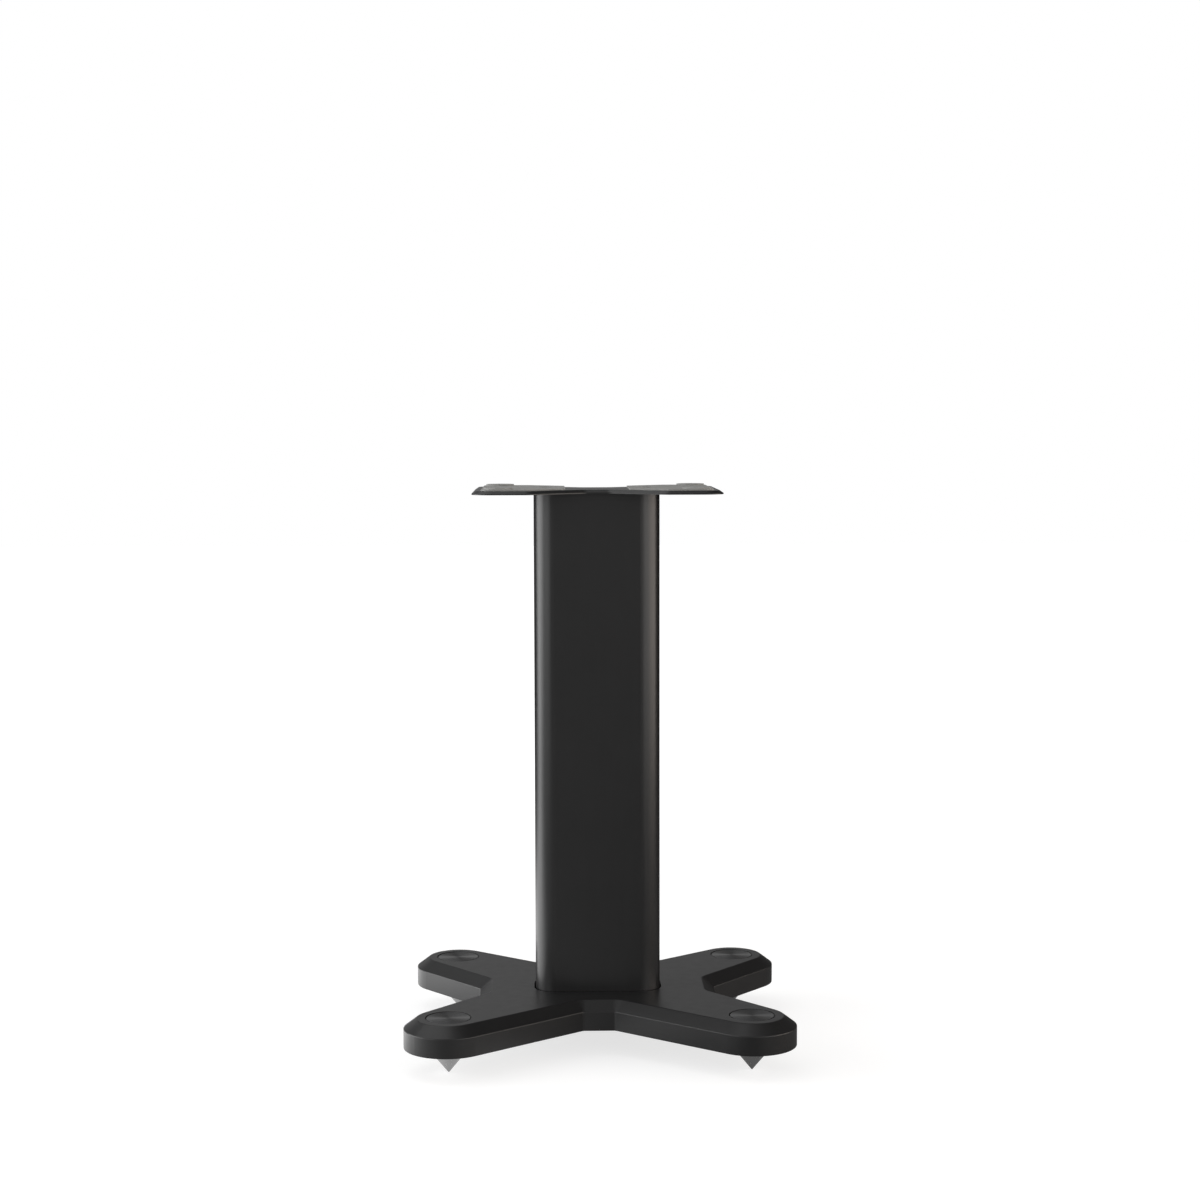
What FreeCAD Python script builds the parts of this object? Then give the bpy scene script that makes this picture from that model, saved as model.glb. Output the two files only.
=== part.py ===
import FreeCAD, Part
import os
from math import cos, radians, sin, tan

# Speaker stand: an X-shaped plinth on four spikes, a flat oval column and a small top plate.
# Millimetres. Origin on the floor at the spike tips' level, under the column's axis.
# +Z up, X along the stand's long side, Y across it. The stand is mirrored about X and Y.

# ---- driving dimensions ------------------------------------------------------------------

# heights above the floor
base_underside_z = 27.0
base_top_z = 57.7
plate_underside_z = 596.0
plate_top_z = 600.0

# plinth: four tapering arms with round tips, each tip centred on its spike
spike_x = 157.5
spike_y = 130.0
arm_tip_r = 46.6
arm_end_edge_angle = 38.7        # edge beside the end notch, from the X axis
arm_side_edge_angle = 50.0       # edge beside the side notch, from the X axis
base_end_notch_y = 77.0
base_side_notch_x = 128.8
base_notch_root_r = 5.0
base_chamfer_in = 13.5
base_chamfer_down = 10.2
base_top_edge_r = 2.5
base_side_edge_r = 1.2
base_bottom_edge_r = 0.8

# column: a rounded rectangular extrusion with two webs and four screw ports
column_x = 135.0
column_y = 62.0
column_corner_r = 22.0
column_wall = 4.0
web_x = 22.0
web_thickness = 3.0
port_x = 54.0
port_y = 17.5
port_r = 6.5
port_hole_r = 3.0
pocket_depth = 10.0
pocket_gap = 1.6
gasket_thickness = 1.0
gasket_width = 9.0

# top plate and its two pads
plate_half_x = 132.0
plate_half_y = 83.0
plate_corner_r = 21.0
plate_notch_y = 42.5
plate_notch_half_x = 13.0
plate_notch_start_x = 71.0
plate_notch_mouth_r = 14.0
plate_notch_root_r = 8.0
plate_chamfer_in = 4.0
plate_chamfer_down = 2.8
plate_edge_r = 0.4
pad_thickness = 1.5
pad_inset = 9.8
pad_inner_x = 34.0
pad_inner_corner_r = 4.0
pad_edge_r = 0.4
speaker_bolt_x = 104.5
speaker_bolt_y = 57.0
speaker_bolt_hole_r = 3.25
boss_r = 15.2
boss_height = 3.2
boss_edge_r = 0.5
pad_screw_hole_r = 7.0

# screws
m6_r = 3.0
m6_clearance_r = 3.3
csk_head_r = 6.0
csk_head_land = 0.4
top_screw_length = 22.0
csk_socket_flats = 4.0
csk_socket_depth = 2.0
cap_head_r = 5.0
cap_head_height = 6.0
cap_socket_flats = 5.0
cap_socket_depth = 3.0
base_screw_length = 28.0
washer_r = 9.0
washer_thickness = 1.6
counterbore_r = 9.5
counterbore_depth = 9.0

# levelling unit at each arm tip: a turned disc drives the spike through a hexagonal pin
disc_r = 23.2
disc_thickness = 5.0
disc_below_face = 0.3
disc_rim_bevel = 0.6
disc_dish_depth = 0.25
disc_dish_r = 21.5
disc_recess_gap = 0.45
disc_recess_floor_gap = 0.4
recess_rim_bevel = 0.6
hub_r = 7.95
hub_length = 6.0
hub_bore_r = 8.0
o_ring_section_r = 0.9
o_ring_outer_r = 7.98
o_ring_drop = 3.0
pin_flats = 5.0
pin_length = 21.5
pin_grip = 6.0
socket_play = 0.06
bush_r = 11.0
bush_flange_r = 15.0
bush_flange_thickness = 2.0
thread_r = 6.0
thread_play = 0.05
thread_top_z = 42.0
thread_lead_in = 0.8
stud_top_z = 39.5
socket_bottom_z = 24.5
spike_collar_bottom_z = 17.8
spike_collar_top_z = 20.5
spike_collar_r = 15.0
spike_collar_bevel = 0.8
spike_tip_r = 0.35

corners = {
    "front_left": (-1, -1),
    "front_right": (1, -1),
    "rear_left": (-1, 1),
    "rear_right": (1, 1),
}

UP = FreeCAD.Vector(0, 0, 1)

# how far a cutting tool reaches past the face it starts from
overcut = 1.0
# how closely two edges must lie to count as being in one plane
in_plane = 1e-4


def vec(x, y, z=0.0):
    return FreeCAD.Vector(x, y, z)


# ---- outlines ----------------------------------------------------------------------------

def rounded_wire(points, radii, z):
    """Closed wire through the points, each corner rounded by its own radius."""
    count = len(points)
    arcs = []
    for i in range(count):
        before = vec(*points[i - 1])
        corner = vec(*points[i])
        after = vec(*points[(i + 1) % count])
        to_before = (before - corner).normalize()
        to_after = (after - corner).normalize()
        half_angle = to_before.getAngle(to_after) / 2
        setback = radii[i] / tan(half_angle)
        start = corner + to_before * setback
        end = corner + to_after * setback
        bisector = (to_before + to_after).normalize()
        centre = corner + bisector * (radii[i] / sin(half_angle))
        middle = centre - bisector * radii[i]
        arcs.append((start, middle, end))
    lift = vec(0, 0, z)
    edges = []
    for i in range(count):
        start, middle, end = arcs[i]
        edges.append(Part.Arc(start + lift, middle + lift, end + lift).toShape())
        next_start = arcs[(i + 1) % count][0]
        if (next_start - end).Length > in_plane:
            edges.append(Part.LineSegment(end + lift, next_start + lift).toShape())
    return Part.Wire(edges)


def mirrored_loop(quarter):
    """Turns the corners of the +X +Y quarter, from the Y axis to the X axis, into a full loop."""
    loop = [(x, y) for x, y in quarter]
    loop += [(x, -y) for x, y in reversed(quarter)]
    loop += [(-x, -y) for x, y in quarter]
    loop += [(-x, y) for x, y in reversed(quarter)]
    return loop


def mirrored_radii(quarter):
    return quarter + quarter[::-1] + quarter + quarter[::-1]


def crossing(point_a, angle_a, point_b, angle_b):
    """Where two lines meet, each given by a point and its angle in degrees."""
    ax, ay = point_a
    bx, by = point_b
    dax, day = cos(radians(angle_a)), sin(radians(angle_a))
    dbx, dby = cos(radians(angle_b)), sin(radians(angle_b))
    along = ((bx - ax) * dby - (by - ay) * dbx) / (dax * dby - day * dbx)
    return (ax + along * dax, ay + along * day)


def base_wire(z):
    """The plinth's outline: arm edges are tangents to the tip circle."""
    end_normal = radians(arm_end_edge_angle + 90)
    side_normal = radians(arm_side_edge_angle - 90)
    end_point = (spike_x + arm_tip_r * cos(end_normal), spike_y + arm_tip_r * sin(end_normal))
    side_point = (spike_x + arm_tip_r * cos(side_normal), spike_y + arm_tip_r * sin(side_normal))
    end_root = crossing(end_point, arm_end_edge_angle, (0, base_end_notch_y), 0)
    side_root = crossing(side_point, arm_side_edge_angle, (base_side_notch_x, 0), 90)
    # a square cap across the tip gives two corners whose roundings together make the tip
    tip_angle = (arm_end_edge_angle + arm_side_edge_angle) / 2
    cap_point = (spike_x + arm_tip_r * cos(radians(tip_angle)),
                 spike_y + arm_tip_r * sin(radians(tip_angle)))
    end_cap = crossing(end_point, arm_end_edge_angle, cap_point, tip_angle + 90)
    side_cap = crossing(side_point, arm_side_edge_angle, cap_point, tip_angle + 90)
    quarter = [end_root, end_cap, side_cap, side_root]
    radii = [base_notch_root_r, arm_tip_r, arm_tip_r, base_notch_root_r]
    return rounded_wire(mirrored_loop(quarter), mirrored_radii(radii), z)


def plate_wire(z):
    """The top plate's outline: a rounded rectangle with a V notch in each long side."""
    quarter = [
        (plate_notch_half_x, plate_notch_y),
        (plate_notch_start_x, plate_half_y),
        (plate_half_x, plate_half_y),
    ]
    radii = [plate_notch_root_r, plate_notch_mouth_r, plate_corner_r]
    return rounded_wire(mirrored_loop(quarter), mirrored_radii(radii), z)


def oval_wire(size_x, size_y, corner_r, z):
    """Rounded rectangle centred on the column's axis."""
    quarter = [(size_x / 2, size_y / 2)]
    return rounded_wire(mirrored_loop(quarter), [corner_r] * 4, z)


def prism(wire, height):
    return Part.Face(wire).extrude(vec(0, 0, height))


def cylinder(x, y, radius, z_low, z_high):
    return Part.makeCylinder(radius, z_high - z_low, vec(x, y, z_low), UP)


def turned(profile, x, y):
    """Solid of revolution about the vertical line at x, y, from (radius, z) corners."""
    points = [vec(r, 0, z) for r, z in profile]
    face = Part.Face(Part.makePolygon(points + [points[0]]))
    solid = face.revolve(vec(0, 0, 0), UP, 360)
    solid.translate(vec(x, y))
    return solid


def hexagon(x, y, flats, z_low, z_high):
    """Hexagonal prism, given the distance across its flats."""
    corner_r = flats / 2 / cos(radians(30))
    points = []
    for side in range(7):
        angle = radians(60 * side)
        points.append(vec(x + corner_r * cos(angle), y + corner_r * sin(angle), z_low))
    return prism(Part.makePolygon(points), z_high - z_low)


def edges_at(solid, z):
    """Edges that lie in the horizontal plane at z."""
    found = []
    for edge in solid.Edges:
        box = edge.BoundBox
        if abs(box.ZMin - z) < in_plane and abs(box.ZMax - z) < in_plane:
            found.append(edge)
    return found


def rim_chamfer(solid, z, inward, down):
    """Bevels every edge of the solid's top rim at z, wider inward than it is deep."""
    rim = edges_at(solid, z)
    for first, second in ((down, inward), (inward, down)):
        bevelled = solid.makeChamfer(first, second, rim)
        if bevelled.isValid() and edges_at(bevelled, z - down):
            return bevelled
    raise RuntimeError("the rim bevel could not be made")


# ---- plinth ------------------------------------------------------------------------------

def screw_places():
    return [(sx * port_x, sy * port_y) for sx in (-1, 1) for sy in (-1, 1)]


def make_base_plate():
    plate = prism(base_wire(base_underside_z), base_top_z - base_underside_z)
    plate = rim_chamfer(plate, base_top_z, base_chamfer_in, base_chamfer_down)
    side_rim_z = base_top_z - base_chamfer_down
    plate = plate.makeFillet(base_top_edge_r, edges_at(plate, base_top_z))
    plate = plate.makeFillet(base_side_edge_r, edges_at(plate, side_rim_z))
    plate = plate.makeFillet(base_bottom_edge_r, edges_at(plate, base_underside_z))
    pocket_floor_z = base_top_z - pocket_depth
    pocket = prism(
        oval_wire(column_x + 2 * pocket_gap, column_y + 2 * pocket_gap,
                  column_corner_r + pocket_gap, pocket_floor_z),
        pocket_depth + overcut,
    )
    cuts = [pocket]
    for sx, sy in corners.values():
        x, y = sx * spike_x, sy * spike_y
        recess_r = disc_r + disc_recess_gap
        recess_floor = disc_underside_z() - disc_recess_floor_gap
        cuts.append(cylinder(x, y, recess_r, recess_floor, base_top_z + overcut))
        cuts.append(Part.makeCone(
            recess_r, recess_r + recess_rim_bevel + overcut, recess_rim_bevel + overcut,
            vec(x, y, base_top_z - recess_rim_bevel), UP))
        cuts.append(cylinder(x, y, bush_r, base_underside_z - overcut, recess_floor + overcut))
        cuts.append(cylinder(x, y, bush_flange_r, base_underside_z - overcut,
                             base_underside_z + bush_flange_thickness))
    for x, y in screw_places():
        cuts.append(cylinder(x, y, m6_clearance_r, base_underside_z - overcut,
                             pocket_floor_z + overcut))
        cuts.append(cylinder(x, y, counterbore_r, base_underside_z - overcut,
                             base_underside_z + counterbore_depth))
    return plate.cut(cuts)


def make_base_gasket():
    """Flat rubber ring under the column's rim, holed for the four screws."""
    floor_z = base_top_z - pocket_depth
    ring = prism(oval_wire(column_x, column_y, column_corner_r, floor_z), gasket_thickness)
    inner_r = column_corner_r - gasket_width
    hole = prism(
        oval_wire(column_x - 2 * gasket_width, column_y - 2 * gasket_width, inner_r,
                  floor_z - overcut),
        gasket_thickness + 2 * overcut,
    )
    holes = [hole]
    for x, y in screw_places():
        holes.append(cylinder(x, y, m6_clearance_r, floor_z - overcut,
                              floor_z + gasket_thickness + overcut))
    return ring.cut(holes)


# ---- column ------------------------------------------------------------------------------

def column_bottom_z():
    return base_top_z - pocket_depth + gasket_thickness


def make_column():
    low = column_bottom_z()
    height = plate_underside_z - low
    outer = prism(oval_wire(column_x, column_y, column_corner_r, low), height)
    inner = prism(
        oval_wire(column_x - 2 * column_wall, column_y - 2 * column_wall,
                  column_corner_r - column_wall, low - overcut),
        height + 2 * overcut,
    )
    ribs = []
    for side in (-1, 1):
        left = side * web_x - web_thickness / 2
        ribs.append(Part.makeBox(web_thickness, column_y - column_wall, height,
                                 vec(left, -(column_y - column_wall) / 2, low)))
    for x, y in screw_places():
        ribs.append(cylinder(x, y, port_r, low, low + height))
    tube = outer.cut(inner)
    ribs = [rib.common(outer) for rib in ribs]
    tube = tube.fuse(ribs).removeSplitter()
    holes = [cylinder(x, y, port_hole_r, low - overcut, low + height + overcut)
             for x, y in screw_places()]
    return tube.cut(holes)


# ---- top plate and pads ------------------------------------------------------------------

def speaker_bolt_places():
    return [(sx * speaker_bolt_x, sy * speaker_bolt_y) for sx in (-1, 1) for sy in (-1, 1)]


def csk_profile(grow):
    """Countersunk head below the plate's top face, grown for clearance by the given amount."""
    head_depth = csk_head_r - m6_r
    return [
        (0, plate_top_z + grow),
        (csk_head_r + grow, plate_top_z + grow),
        (csk_head_r + grow, plate_top_z - csk_head_land),
        (m6_r + grow, plate_top_z - csk_head_land - head_depth),
        (0, plate_top_z - csk_head_land - head_depth),
    ]


def make_top_plate():
    plate = prism(plate_wire(plate_underside_z), plate_top_z - plate_underside_z)
    plate = rim_chamfer(plate, plate_top_z, plate_chamfer_in, plate_chamfer_down)
    soft_edges = edges_at(plate, plate_top_z) + edges_at(plate, plate_top_z - plate_chamfer_down)
    plate = plate.makeFillet(plate_edge_r, soft_edges)
    cuts = []
    for x, y in screw_places():
        cuts.append(cylinder(x, y, m6_clearance_r, plate_underside_z - overcut,
                             plate_top_z + overcut))
        cuts.append(turned(csk_profile(m6_clearance_r - m6_r), x, y))
    for x, y in speaker_bolt_places():
        cuts.append(cylinder(x, y, speaker_bolt_hole_r, plate_underside_z - overcut,
                             plate_top_z + overcut))
    return plate.cut(cuts)


def make_pad(side):
    """Moulded rubber pad on one end of the plate, with a round boss at each speaker bolt."""
    sheet_wire = plate_wire(plate_top_z).makeOffset2D(-pad_inset)
    sheet = prism(sheet_wire, pad_thickness)
    reach = plate_half_x + plate_half_y
    half = Part.makeBox(reach, 2 * reach, pad_thickness + 2 * overcut,
                        vec(pad_inner_x, -reach, plate_top_z - overcut))
    sheet = sheet.common(half)
    inner_corners = []
    for edge in sheet.Edges:
        box = edge.BoundBox
        upright = box.ZLength > pad_thickness / 2 and max(box.XLength, box.YLength) < in_plane
        if upright and abs(box.XMin - pad_inner_x) < in_plane:
            inner_corners.append(edge)
    sheet = sheet.makeFillet(pad_inner_corner_r, inner_corners)
    sheet = sheet.makeFillet(pad_edge_r, edges_at(sheet, plate_top_z + pad_thickness))
    pad = sheet
    for sy in (-1, 1):
        boss = cylinder(speaker_bolt_x, sy * speaker_bolt_y, boss_r, plate_top_z,
                        plate_top_z + boss_height)
        boss = boss.makeFillet(boss_edge_r, edges_at(boss, plate_top_z + boss_height))
        pad = pad.fuse(boss)
    holes = []
    for sy in (-1, 1):
        holes.append(cylinder(speaker_bolt_x, sy * speaker_bolt_y, speaker_bolt_hole_r,
                              plate_top_z - overcut, plate_top_z + boss_height + overcut))
        holes.append(cylinder(port_x, sy * port_y, pad_screw_hole_r,
                              plate_top_z - overcut, plate_top_z + pad_thickness + overcut))
    pad = pad.cut(holes)
    if side < 0:
        pad = pad.mirror(vec(0, 0, 0), vec(1, 0, 0))
    return pad


# ---- screws ------------------------------------------------------------------------------

def make_top_screws():
    screws = []
    for x, y in screw_places():
        head = turned(csk_profile(0), x, y)
        shank = cylinder(x, y, m6_r, plate_top_z - top_screw_length, plate_top_z - csk_head_land)
        socket = hexagon(x, y, csk_socket_flats, plate_top_z - csk_socket_depth,
                         plate_top_z + overcut)
        screws.append(head.fuse(shank).cut(socket))
    return Part.makeCompound(screws)


def washer_seat_z():
    return base_underside_z + counterbore_depth


def make_base_washers():
    washers = []
    for x, y in screw_places():
        low = washer_seat_z() - washer_thickness
        ring = cylinder(x, y, washer_r, low, washer_seat_z())
        washers.append(ring.cut(cylinder(x, y, m6_clearance_r, low - overcut,
                                         washer_seat_z() + overcut)))
    return Part.makeCompound(washers)


def make_base_screws():
    screws = []
    head_top = washer_seat_z() - washer_thickness
    head_low = head_top - cap_head_height
    for x, y in screw_places():
        head = cylinder(x, y, cap_head_r, head_low, head_top)
        shank = cylinder(x, y, m6_r, head_low + cap_socket_depth, head_top + base_screw_length)
        socket = hexagon(x, y, cap_socket_flats, head_low - overcut, head_low + cap_socket_depth)
        screws.append(head.fuse(shank).cut(socket))
    return Part.makeCompound(screws)


# ---- levelling units ---------------------------------------------------------------------

def disc_top_z():
    return base_top_z - disc_below_face


def disc_underside_z():
    return disc_top_z() - disc_thickness


def hub_bottom_z():
    return disc_underside_z() - hub_length


def make_bush(x, y):
    """Flanged insert pressed in from below: bearing bore above, thread below."""
    top = disc_underside_z() - disc_recess_floor_gap
    body = cylinder(x, y, bush_r, base_underside_z, top)
    flange = cylinder(x, y, bush_flange_r, base_underside_z,
                      base_underside_z + bush_flange_thickness)
    bearing = cylinder(x, y, hub_bore_r, thread_top_z, top + overcut)
    thread = cylinder(x, y, thread_r + thread_play, base_underside_z - overcut,
                      thread_top_z + overcut)
    lead_in = Part.makeCone(
        thread_r + thread_play + thread_lead_in, thread_r + thread_play, thread_lead_in,
        vec(x, y, base_underside_z), UP)
    return body.fuse(flange).cut([bearing, thread, lead_in])


def make_disc(x, y):
    """Turned disc, very slightly dished, with a hub that turns in the bush."""
    top = disc_top_z()
    low = disc_underside_z()
    groove_z = low - o_ring_drop
    groove_r = o_ring_outer_r - 2 * o_ring_section_r
    hub_end = hub_bottom_z()
    profile = [
        (0, top - disc_dish_depth),
        (disc_dish_r, top),
        (disc_r - disc_rim_bevel, top),
        (disc_r, top - disc_rim_bevel),
        (disc_r, low),
        (hub_r, low),
        (hub_r, groove_z + o_ring_section_r),
        (groove_r, groove_z + o_ring_section_r),
        (groove_r, groove_z - o_ring_section_r),
        (hub_r, groove_z - o_ring_section_r),
        (hub_r, hub_end),
        (0, hub_end),
    ]
    disc = turned(profile, x, y)
    return disc.cut(hexagon(x, y, pin_flats, hub_end - overcut, hub_end + pin_grip))


def make_pin(x, y):
    """Hexagonal pin fixed in the hub; it slides in the spike's socket and turns it."""
    top = hub_bottom_z() + pin_grip
    return hexagon(x, y, pin_flats, top - pin_length, top)


def make_o_ring(x, y):
    centre_r = o_ring_outer_r - o_ring_section_r
    return Part.makeTorus(centre_r, o_ring_section_r,
                          vec(x, y, disc_underside_z() - o_ring_drop), UP)


def make_spike(x, y):
    """Threaded stud with a hexagonal socket above, and a collar and cone below."""
    profile = [
        (0, 0),
        (spike_tip_r, 0),
        (spike_collar_r, spike_collar_bottom_z),
        (spike_collar_r, spike_collar_top_z - spike_collar_bevel),
        (spike_collar_r - spike_collar_bevel, spike_collar_top_z),
        (thread_r, spike_collar_top_z),
        (thread_r, stud_top_z - thread_lead_in),
        (thread_r - thread_lead_in, stud_top_z),
        (0, stud_top_z),
    ]
    spike = turned(profile, x, y)
    socket = hexagon(x, y, pin_flats + 2 * socket_play, socket_bottom_z, stud_top_z + overcut)
    return spike.cut(socket)


# ---- all pieces --------------------------------------------------------------------------

def build_parts():
    parts = {
        "base_plate": make_base_plate(),
        "base_gasket": make_base_gasket(),
        "column": make_column(),
        "top_plate": make_top_plate(),
        "speaker_pad_left": make_pad(-1),
        "speaker_pad_right": make_pad(1),
        "top_plate_screws": make_top_screws(),
        "base_screws": make_base_screws(),
        "base_washers": make_base_washers(),
    }
    for corner, (sx, sy) in corners.items():
        x, y = sx * spike_x, sy * spike_y
        parts["threaded_bush_" + corner] = make_bush(x, y)
        parts["levelling_disc_" + corner] = make_disc(x, y)
        parts["drive_pin_" + corner] = make_pin(x, y)
        parts["disc_o_ring_" + corner] = make_o_ring(x, y)
        parts["spike_" + corner] = make_spike(x, y)
    return parts


os.makedirs("parts", exist_ok=True)
for node, shape in build_parts().items():
    shape.exportStep(os.path.join("parts", node + ".step"))
    print(node, "valid", shape.isValid(), "solids", len(shape.Solids),
          "volume cm3 %.2f" % (shape.Volume / 1000))
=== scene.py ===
from math import pi, radians

import bpy
from mathutils import Matrix, Vector

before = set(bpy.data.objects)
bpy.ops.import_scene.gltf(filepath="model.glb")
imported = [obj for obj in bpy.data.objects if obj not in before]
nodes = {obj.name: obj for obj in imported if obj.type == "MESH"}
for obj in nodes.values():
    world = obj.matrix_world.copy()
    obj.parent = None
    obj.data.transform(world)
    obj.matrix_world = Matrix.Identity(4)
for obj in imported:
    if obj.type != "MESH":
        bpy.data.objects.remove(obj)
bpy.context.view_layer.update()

CORNERS = ("front_left", "front_right", "rear_left", "rear_right")
WHITE = (1, 1, 1, 1)


# ---- camera ------------------------------------------------------------------------------

# fitted to the photo's spike tips, discs and column edges: metres, degrees, millimetres
CAMERA_PLACE = (-0.05297, -2.3919, 0.6818)
CAMERA_TURN = -1.355
CAMERA_TILT = -4.828
CAMERA_ROLL = -0.137
CAMERA_LENS = 66.76
CAMERA_SENSOR = 36.0


def make_camera():
    data = bpy.data.cameras.new("photo_camera")
    data.sensor_width = CAMERA_SENSOR
    data.lens = CAMERA_LENS
    data.clip_start = 0.05
    data.clip_end = 60.0
    camera = bpy.data.objects.new("photo_camera", data)
    bpy.context.scene.collection.objects.link(camera)
    turn = Matrix.Rotation(radians(CAMERA_TURN), 4, "Z")
    tilt = Matrix.Rotation(radians(90.0 + CAMERA_TILT), 4, "X")
    roll = Matrix.Rotation(radians(CAMERA_ROLL), 4, "Z")
    camera.matrix_world = Matrix.Translation(CAMERA_PLACE) @ turn @ tilt @ roll
    bpy.context.scene.camera = camera


# ---- node helpers: each gives back the output socket it made -----------------------------

def math_node(tree, operation, *values):
    """Math node fed by sockets or plain numbers."""
    node = tree.nodes.new("ShaderNodeMath")
    node.operation = operation
    for index, value in enumerate(values):
        if isinstance(value, (int, float)):
            node.inputs[index].default_value = value
        else:
            tree.links.new(value, node.inputs[index])
    return node.outputs[0]


def product(tree, first, *others):
    for other in others:
        first = math_node(tree, "MULTIPLY", first, other)
    return first


def length(tree, x, y):
    return math_node(tree, "SQRT", math_node(
        tree, "ADD", product(tree, x, x), product(tree, y, y)))


def map_range(tree, value, low, high, from_low, from_high, interpolation="LINEAR"):
    node = tree.nodes.new("ShaderNodeMapRange")
    node.interpolation_type = interpolation
    node.inputs["From Min"].default_value = from_low
    node.inputs["From Max"].default_value = from_high
    node.inputs["To Min"].default_value = low
    node.inputs["To Max"].default_value = high
    tree.links.new(value, node.inputs["Value"])
    return node.outputs[0]


def eased(tree, value, low, high, span):
    """Smooth step from low to high while value goes through the span."""
    return map_range(tree, value, low, high, *span, interpolation="SMOOTHSTEP")


def window(tree, value, rise, fall):
    """1 between the two spans, easing to 0 outside them."""
    return product(tree, eased(tree, value, 0.0, 1.0, rise), eased(tree, value, 1.0, 0.0, fall))


def colour_ramp(tree, value, stops):
    node = tree.nodes.new("ShaderNodeValToRGB")
    elements = node.color_ramp.elements
    while len(elements) < len(stops):
        elements.new(0.5)
    for element, (position, colour) in zip(elements, stops):
        element.position = position
        element.color = (*colour, 1.0)
    tree.links.new(value, node.inputs["Fac"])
    return node.outputs["Color"]


def split_coordinates(tree, kind):
    source = tree.nodes.new("ShaderNodeTexCoord")
    split = tree.nodes.new("ShaderNodeSeparateXYZ")
    tree.links.new(source.outputs[kind], split.inputs[0])
    return split.outputs["X"], split.outputs["Y"], split.outputs["Z"]


def mix_shaders(tree, factor, without, with_it):
    mix = tree.nodes.new("ShaderNodeMixShader")
    for value, socket in zip((factor, without, with_it), mix.inputs):
        tree.links.new(value, socket)
    return mix.outputs[0]


# ---- materials ---------------------------------------------------------------------------

# noise rarely leaves this span, so it is stretched over the whole of what it drives
NOISE_SPAN = (0.3, 0.7)


class Shader:
    """One material with a Principled shader. Noise scales are per metre, depths in metres."""

    def __init__(self, name, **values):
        self.material = bpy.data.materials.new(name)
        self.material.use_nodes = True
        self.tree = self.material.node_tree
        self.tree.nodes.clear()
        self.bsdf = self.tree.nodes.new("ShaderNodeBsdfPrincipled")
        output = self.tree.nodes.new("ShaderNodeOutputMaterial")
        self.tree.links.new(self.bsdf.outputs["BSDF"], output.inputs["Surface"])
        for key, value in values.items():
            self.bsdf.inputs[key.replace("_", " ")].default_value = value

    def feed(self, socket, input_name):
        self.tree.links.new(socket, self.bsdf.inputs[input_name])

    def noise(self, scale, detail, roughness=0.55, stretch=(1, 1, 1)):
        source = self.tree.nodes.new("ShaderNodeTexCoord")
        mapping = self.tree.nodes.new("ShaderNodeMapping")
        mapping.inputs["Scale"].default_value = stretch
        self.tree.links.new(source.outputs["Object"], mapping.inputs["Vector"])
        node = self.tree.nodes.new("ShaderNodeTexNoise")
        node.inputs["Scale"].default_value = scale
        node.inputs["Detail"].default_value = detail
        node.inputs["Roughness"].default_value = roughness
        self.tree.links.new(mapping.outputs["Vector"], node.inputs["Vector"])
        return node.outputs["Fac"]

    def tint(self, value, colour, darkest, lightest):
        """Base colour that varies between two multiples of the colour."""
        ends = [tuple(channel * factor for channel in colour) for factor in (darkest, lightest)]
        self.feed(colour_ramp(self.tree, value, list(zip(NOISE_SPAN, ends))), "Base Color")

    def gloss(self, value, smoothest, roughest):
        """Roughness that varies between two values."""
        self.feed(map_range(self.tree, value, smoothest, roughest, *NOISE_SPAN), "Roughness")

    def bump(self, height, strength, depth, below=None):
        node = self.tree.nodes.new("ShaderNodeBump")
        node.inputs["Strength"].default_value = strength
        node.inputs["Distance"].default_value = depth
        self.tree.links.new(height, node.inputs["Height"])
        if below is not None:
            self.tree.links.new(below, node.inputs["Normal"])
        self.feed(node.outputs["Normal"], "Normal")
        return node.outputs["Normal"]

    def grooves(self, value, pitch, strength):
        """Lathe grooves: a fine wave along a length given in metres."""
        wave = math_node(self.tree, "SINE", product(self.tree, value, 2 * pi / pitch))
        self.bump(wave, strength, depth=0.00002)


def powder_coat(name, colour, roughness, level):
    """Satin powder coat: faint mottling and a fine orange-peel surface."""
    s = Shader(name, Specular_IOR_Level=level)
    s.tint(s.noise(scale=35.0, detail=4.0), colour, 0.94, 1.06)
    s.gloss(s.noise(scale=90.0, detail=3.0), roughness - 0.012, roughness + 0.012)
    s.bump(s.noise(scale=1400.0, detail=2.0), strength=0.25, depth=0.00004)
    return s.material


def coated_extrusion(name, colour, roughness):
    """Satin coat over an extruded tube: fine draw lines run along the column."""
    s = Shader(name, Specular_IOR_Level=0.4)
    s.tint(s.noise(scale=18.0, detail=3.0), colour, 0.9, 1.1)
    lines = s.noise(scale=900.0, detail=2.0, stretch=(1.0, 1.0, 0.01))
    s.gloss(lines, roughness - 0.03, roughness + 0.04)
    drawn = s.bump(lines, strength=0.12, depth=0.00002)
    s.bump(s.noise(scale=1500.0, detail=2.0), strength=0.12, depth=0.00003, below=drawn)
    return s.material


def rubber(name, colour):
    """Moulded rubber with a fine matt grain and a little dust."""
    s = Shader(name, Specular_IOR_Level=0.35)
    dust = s.noise(scale=120.0, detail=5.0, roughness=0.65)
    s.tint(dust, colour, 0.91, 1.08)
    s.gloss(dust, 0.69, 0.81)
    s.bump(s.noise(scale=2200.0, detail=3.0), strength=0.35, depth=0.00006)
    return s.material


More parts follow.
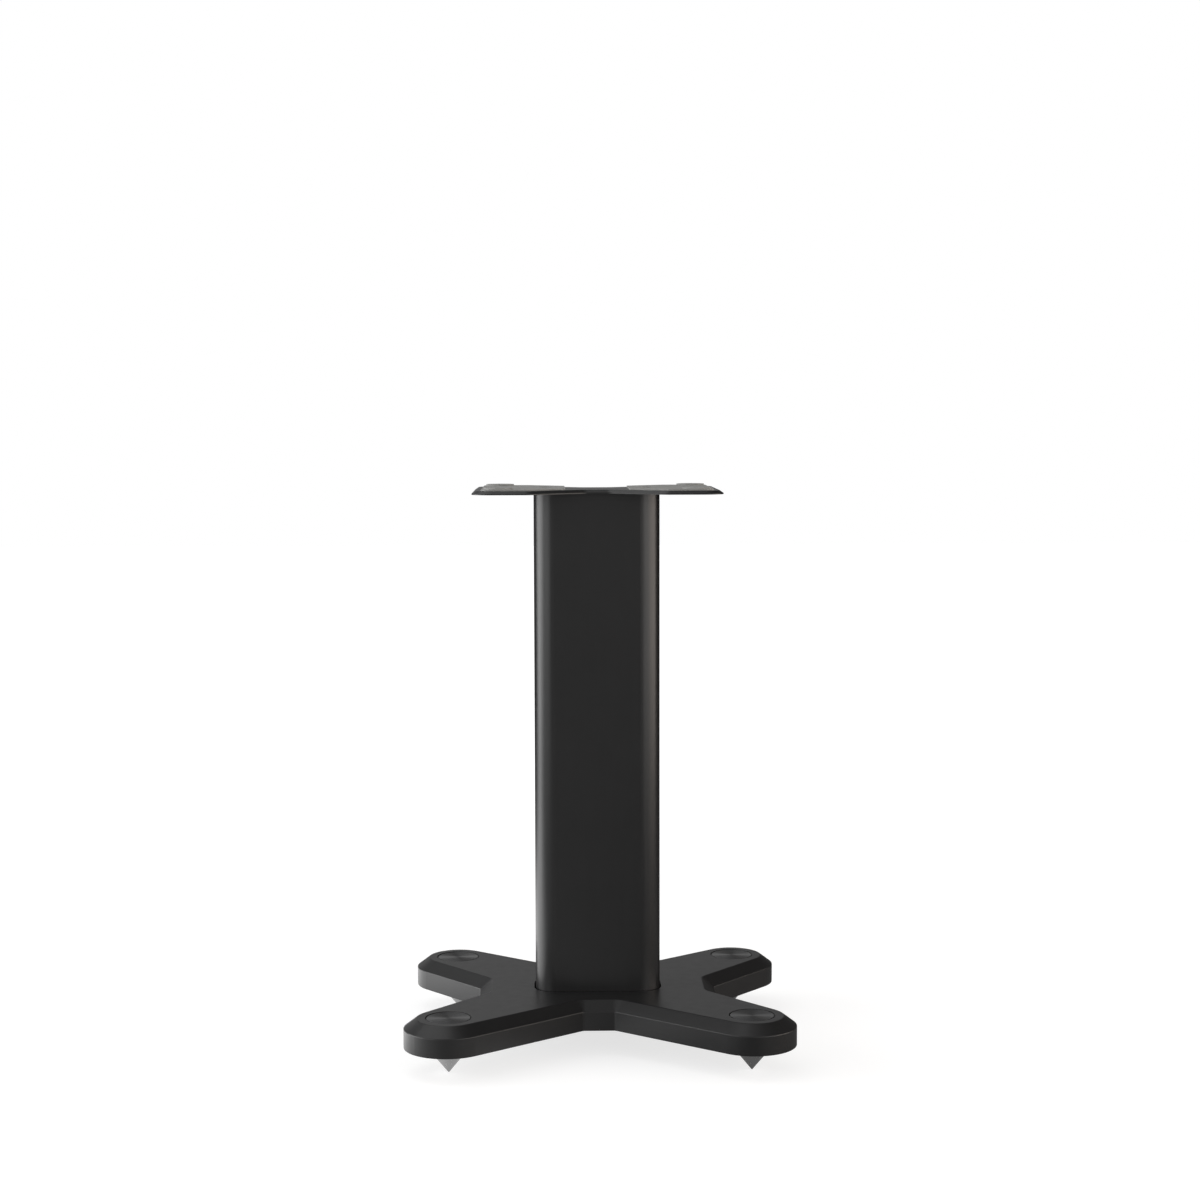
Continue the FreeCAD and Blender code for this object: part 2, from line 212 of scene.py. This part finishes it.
def turned_face(name, colour, roughness, pitch, width):
    """Metal faced on a lathe: fine circles round the node's own centre, seen in the shine.

    The width is that of the node, across which the generated coordinates go from 0 to 1."""
    s = Shader(name, Metallic=1.0, Anisotropic=0.92, Anisotropic_Rotation=0.25)
    tangent = s.tree.nodes.new("ShaderNodeTangent")
    tangent.direction_type = "RADIAL"
    tangent.axis = "Z"
    s.feed(tangent.outputs["Tangent"], "Tangent")
    x, y, _ = split_coordinates(s.tree, "Generated")
    radius = length(s.tree, math_node(s.tree, "SUBTRACT", x, 0.5),
                    math_node(s.tree, "SUBTRACT", y, 0.5))
    rings = s.tree.nodes.new("ShaderNodeTexNoise")
    rings.noise_dimensions = "1D"
    rings.inputs["Scale"].default_value = 260.0
    rings.inputs["Detail"].default_value = 3.0
    s.tree.links.new(radius, rings.inputs["W"])
    s.tint(rings.outputs["Fac"], colour, 0.8, 1.2)
    s.gloss(rings.outputs["Fac"], roughness - 0.06, roughness + 0.06)
    s.grooves(product(s.tree, radius, width), pitch, strength=0.15)
    return s.material


def turned_round(name, colour, roughness, pitch):
    """Bright metal turned on a lathe: fine grooves round the upright axis."""
    s = Shader(name, Metallic=1.0)
    smudge = s.noise(scale=300.0, detail=4.0)
    s.tint(smudge, colour, 0.9, 1.0)
    s.gloss(smudge, roughness - 0.04, roughness + 0.06)
    height = split_coordinates(s.tree, "Object")[2]
    s.grooves(height, pitch, strength=0.2)
    return s.material


def plated_steel(name, colour, roughness):
    """Zinc-plated steel with a slightly cloudy finish."""
    s = Shader(name, Metallic=1.0)
    cloud = s.noise(scale=250.0, detail=5.0, roughness=0.6)
    s.tint(cloud, colour, 0.8, 1.15)
    s.gloss(cloud, roughness - 0.08, roughness + 0.08)
    s.bump(cloud, strength=0.1, depth=0.00002)
    return s.material


base_coat = powder_coat("base_coat", (0.0095, 0.0095, 0.0098), roughness=0.37, level=0.35)
plate_coat = powder_coat("plate_coat", (0.0095, 0.0095, 0.0098), roughness=0.36, level=0.31)
column_coat = coated_extrusion("column_coat", (0.0085, 0.0085, 0.0088), roughness=0.31)
pad_rubber = rubber("pad_rubber", (0.265, 0.265, 0.257))
gasket_rubber = rubber("gasket_rubber", (0.012, 0.012, 0.012))
disc_metal = turned_face("disc_metal", (0.055, 0.055, 0.056), roughness=0.34, pitch=0.0003,
                         width=0.0464)
spike_steel = turned_round("spike_steel", (0.5, 0.5, 0.5), roughness=0.22, pitch=0.0004)
bush_brass = turned_round("bush_brass", (0.72, 0.5, 0.22), roughness=0.28, pitch=0.0003)
screw_steel = plated_steel("screw_steel", (0.32, 0.32, 0.33), roughness=0.35)

BY_NODE = {
    "base_plate": base_coat,
    "base_gasket": gasket_rubber,
    "column": column_coat,
    "top_plate": plate_coat,
    "speaker_pad_left": pad_rubber,
    "speaker_pad_right": pad_rubber,
    "top_plate_screws": screw_steel,
    "base_screws": screw_steel,
    "base_washers": screw_steel,
}
for corner in CORNERS:
    BY_NODE["threaded_bush_" + corner] = bush_brass
    BY_NODE["levelling_disc_" + corner] = disc_metal
    BY_NODE["drive_pin_" + corner] = screw_steel
    BY_NODE["disc_o_ring_" + corner] = gasket_rubber
    BY_NODE["spike_" + corner] = spike_steel

for name, material in BY_NODE.items():
    mesh = nodes[name].data
    mesh.materials.clear()
    mesh.materials.append(material)


# ---- floor -------------------------------------------------------------------------------

# All spans are in metres on the floor. Left is -X, the front is -Y, as in the photo.
FLOOR_REACH = 9.0
FLOOR_TONE = 0.35
# glow that lifts the shaded floor to white for the camera, fully so from 2.2 m on
LIFT_NEAR = 0.72
LIFT_SPAN = (0.7, 2.2)
# brightness the floor shows to glossy rays only, a painted reflection: round the stand, behind
# it, and the shares left and right of it
SHEEN_FRONT = 0.6
SHEEN_BEHIND = 0.24
BEHIND_SPAN = (0.12, 0.45)
FAR_SHARE = 0.15
FAR_SPAN = (0.8, 2.2)
RIGHT_SHARE = 0.3
RIGHT_SPAN = (-0.14, 0.14)
LEFT_SHARE = 0.68
LEFT_SPAN = (-0.16, -0.11)
# painted pool of light on the left, seen only in reflections
POOL = 3.9
POOL_X = (-0.5, -0.1)
POOL_Y = ((-0.45, 0.0), (0.25, 0.9))
# smaller painted patch of light between the front arms, seen only in reflections
PATCH = 0.9
PATCH_X = ((-0.14, -0.1), (-0.05, 0.01))
PATCH_Y = ((-0.2, -0.16), (-0.1, -0.05))


def make_floor():
    """Pale floor that takes the stand's shadow and fades into the white of the world; glossy
    rays see only its painted reflection glow.
    """
    mesh = bpy.data.meshes.new("floor")
    r = FLOOR_REACH
    mesh.from_pydata([(-r, -r, 0), (r, -r, 0), (r, r, 0), (-r, r, 0)], [], [(0, 1, 2, 3)])
    floor = bpy.data.objects.new("floor", mesh)
    bpy.context.scene.collection.objects.link(floor)
    material = bpy.data.materials.new("floor_white")
    material.use_nodes = True
    tree = material.node_tree
    tree.nodes.clear()
    x, y, _ = split_coordinates(tree, "Object")
    path = tree.nodes.new("ShaderNodeLightPath")

    diffuse = tree.nodes.new("ShaderNodeBsdfDiffuse")
    diffuse.inputs["Color"].default_value = (FLOOR_TONE, FLOOR_TONE, FLOOR_TONE, 1)
    straight = math_node(tree, "MAXIMUM", path.outputs["Is Camera Ray"],
                         path.outputs["Is Transmission Ray"])
    lift = eased(tree, length(tree, x, y), LIFT_NEAR, 1.0, LIFT_SPAN)
    glow = tree.nodes.new("ShaderNodeEmission")
    tree.links.new(product(tree, straight, lift), glow.inputs["Strength"])
    lifted = tree.nodes.new("ShaderNodeAddShader")
    tree.links.new(diffuse.outputs[0], lifted.inputs[0])
    tree.links.new(glow.outputs[0], lifted.inputs[1])

    # painted reflection: the floor glows for glossy rays with a sheen round the stand, a pool
    # on the left and a patch between the front arms
    painted_sheen = product(tree, eased(tree, y, SHEEN_FRONT, SHEEN_BEHIND, BEHIND_SPAN),
                    eased(tree, y, 1.0, FAR_SHARE, FAR_SPAN),
                    eased(tree, x, 1.0, RIGHT_SHARE, RIGHT_SPAN),
                    eased(tree, x, LEFT_SHARE, 1.0, LEFT_SPAN))
    painted_pool = product(tree, eased(tree, x, POOL, 0.0, POOL_X), window(tree, y, *POOL_Y))
    painted_patch = product(tree, window(tree, x, *PATCH_X), window(tree, y, *PATCH_Y), PATCH)
    mirrored = tree.nodes.new("ShaderNodeEmission")
    tree.links.new(math_node(tree, "ADD", painted_sheen, math_node(tree, "ADD", painted_pool, painted_patch)),
                   mirrored.inputs["Strength"])

    output = tree.nodes.new("ShaderNodeOutputMaterial")
    tree.links.new(mix_shaders(tree, path.outputs["Is Glossy Ray"], lifted.outputs[0],
                               mirrored.outputs[0]), output.inputs["Surface"])
    mesh.materials.append(material)


# ---- world and lamps ---------------------------------------------------------------------

WORLD_FILL = 0.4
# brightness of the studio in reflections, by the sine of the height above the horizon
STUDIO_BANDS = [(0.0, 0.03), (0.03, 0.05), (0.17, 0.58), (0.26, 0.58), (0.5, 0.22), (0.8, 0.3),
                (1.0, 0.65)]
# the bands are dimmer on the right, and the side the camera stands on is evenly lit
DIM_SHARE = 0.12
DIM_SPAN = (-0.1, 0.5)
CAMERA_SIDE = 0.6
CAMERA_SIDE_SPAN = (-0.85, -0.2)


def background(tree, strength):
    node = tree.nodes.new("ShaderNodeBackground")
    node.inputs["Color"].default_value = WHITE
    if isinstance(strength, (int, float)):
        node.inputs["Strength"].default_value = strength
    else:
        tree.links.new(strength, node.inputs["Strength"])
    return node.outputs[0]


def make_world():
    """White for the camera; in reflections a pale band behind the stand, dim elsewhere."""
    world = bpy.data.worlds.new("studio")
    bpy.context.scene.world = world
    world.use_nodes = True
    tree = world.node_tree
    tree.nodes.clear()
    x, y, z = split_coordinates(tree, "Generated")
    path = tree.nodes.new("ShaderNodeLightPath")
    bands = colour_ramp(tree, z, [(height, (level, level, level)) for height, level
                                  in STUDIO_BANDS])
    dimmed = product(tree, eased(tree, x, 1.0, DIM_SHARE, DIM_SPAN), bands)
    mirrored = math_node(tree, "MAXIMUM", dimmed,
                         eased(tree, y, CAMERA_SIDE, 0.0, CAMERA_SIDE_SPAN))
    straight = math_node(tree, "MAXIMUM", path.outputs["Is Camera Ray"],
                         path.outputs["Is Transmission Ray"])
    lighting = mix_shaders(tree, path.outputs["Is Glossy Ray"], background(tree, WORLD_FILL),
                           background(tree, mirrored))
    output = tree.nodes.new("ShaderNodeOutputWorld")
    tree.links.new(mix_shaders(tree, straight, lighting, background(tree, 1.0)),
                   output.inputs["Surface"])


def soft_box(name, place, target, size, radiance, colour=(1, 1, 1)):
    """Area lamp given by how bright its face looks."""
    data = bpy.data.lights.new(name, "AREA")
    data.shape = "RECTANGLE"
    data.size, data.size_y = size
    data.energy = radiance * pi * size[0] * size[1]
    data.color = colour
    lamp = bpy.data.objects.new(name, data)
    bpy.context.scene.collection.objects.link(lamp)
    lamp.location = place
    lamp.rotation_euler = (Vector(target) - Vector(place)).to_track_quat("-Z", "Y").to_euler()


make_camera()
make_floor()
make_world()
soft_box("left_low", (-2.6, 0.0, 0.8), (0, 0, 0.5), (2.3, 1.6), 5.3)
soft_box("left_front", (-1.9, -1.9, 0.75), (0, 0, 0.4), (1.6, 1.5), 2.2)
soft_box("left_high", (-1.15, 0.4, 2.3), (-1.15, 0.4, 0), (2.1, 2.2), 1.1)
soft_box("right_warm", (2.1, -0.4, 0.65), (0, 0, 0.4), (1.7, 1.3), 3.9, (1.0, 0.9, 0.82))
soft_box("right_front", (1.6, -1.9, 0.65), (0, 0, 0.4), (1.7, 1.3), 2.6, (1.0, 0.97, 0.94))

bpy.context.scene.view_settings.view_transform = "Standard"
